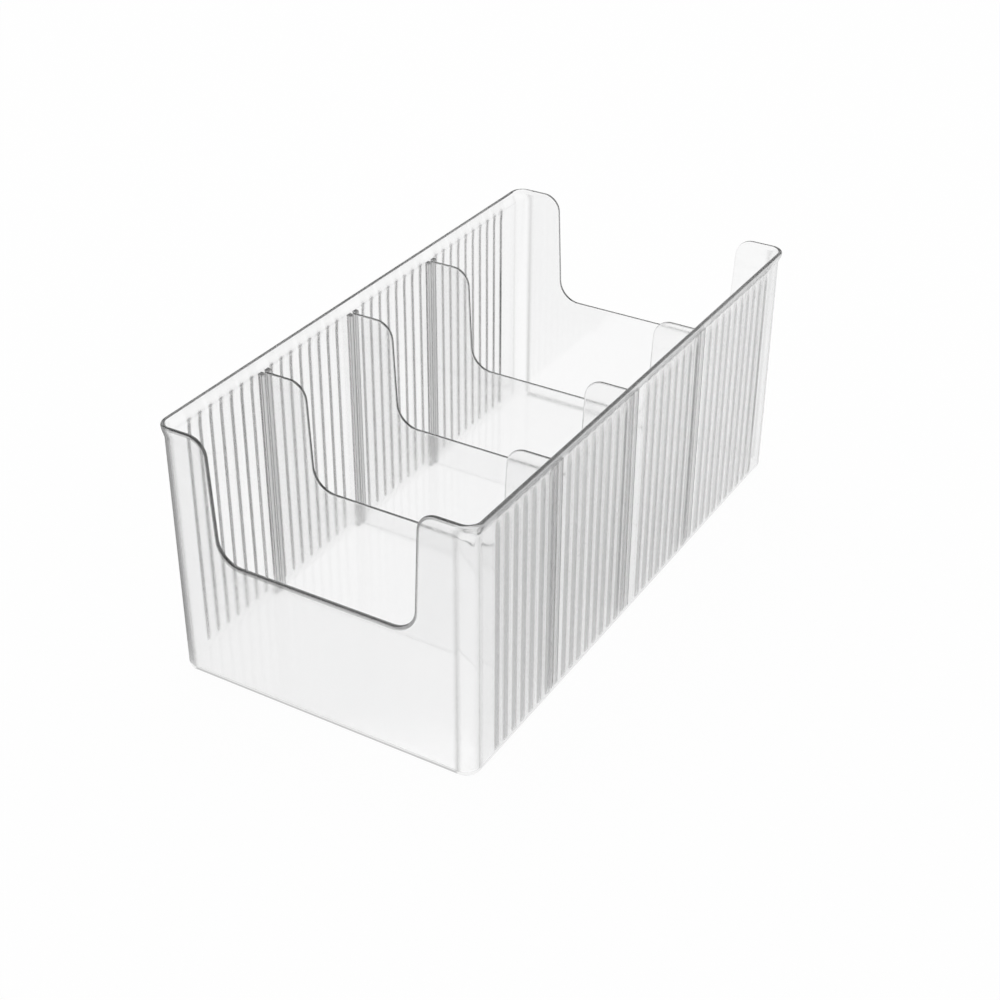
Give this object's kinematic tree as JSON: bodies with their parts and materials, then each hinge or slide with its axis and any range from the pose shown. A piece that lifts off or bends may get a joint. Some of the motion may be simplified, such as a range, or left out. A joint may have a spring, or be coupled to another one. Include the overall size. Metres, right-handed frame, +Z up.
{
  "type": "storage bin with dividers",
  "caption": "Clear open-topped pantry bin with ribbed long walls, a rim that flares along them and a hand scoop in each end, split into bays by scooped divider panels that lift out of guide rails.",
  "frame": {"origin": "centre of the bin's footprint, on the surface it stands on", "axes": "+Z up, Y along the bin with the front end (nearest a divider) at -Y, X across it"},
  "size_m": [0.16, 0.309, 0.1286],
  "materials": {
    "bin": "clear, colourless, polished",
    "divider": "clear, colourless, polished"
  },
  "bodies": {
    "bin": {"bin": "bin"},
    "divider_front": {"divider_front": "divider"},
    "divider_middle": {"divider_middle": "divider"},
    "divider_rear": {"divider_rear": "divider"}
  },
  "joints": [
    {"name": "divider_front_lift", "type": "slide", "parent": "bin", "child": "divider_front", "axis": [0, 0, 1], "range_m": [0, 0.13]},
    {"name": "divider_middle_lift", "type": "slide", "parent": "bin", "child": "divider_middle", "axis": [0, 0, 1], "range_m": [0, 0.13]},
    {"name": "divider_rear_lift", "type": "slide", "parent": "bin", "child": "divider_rear", "axis": [0, 0, 1], "range_m": [0, 0.13]}
  ]
}
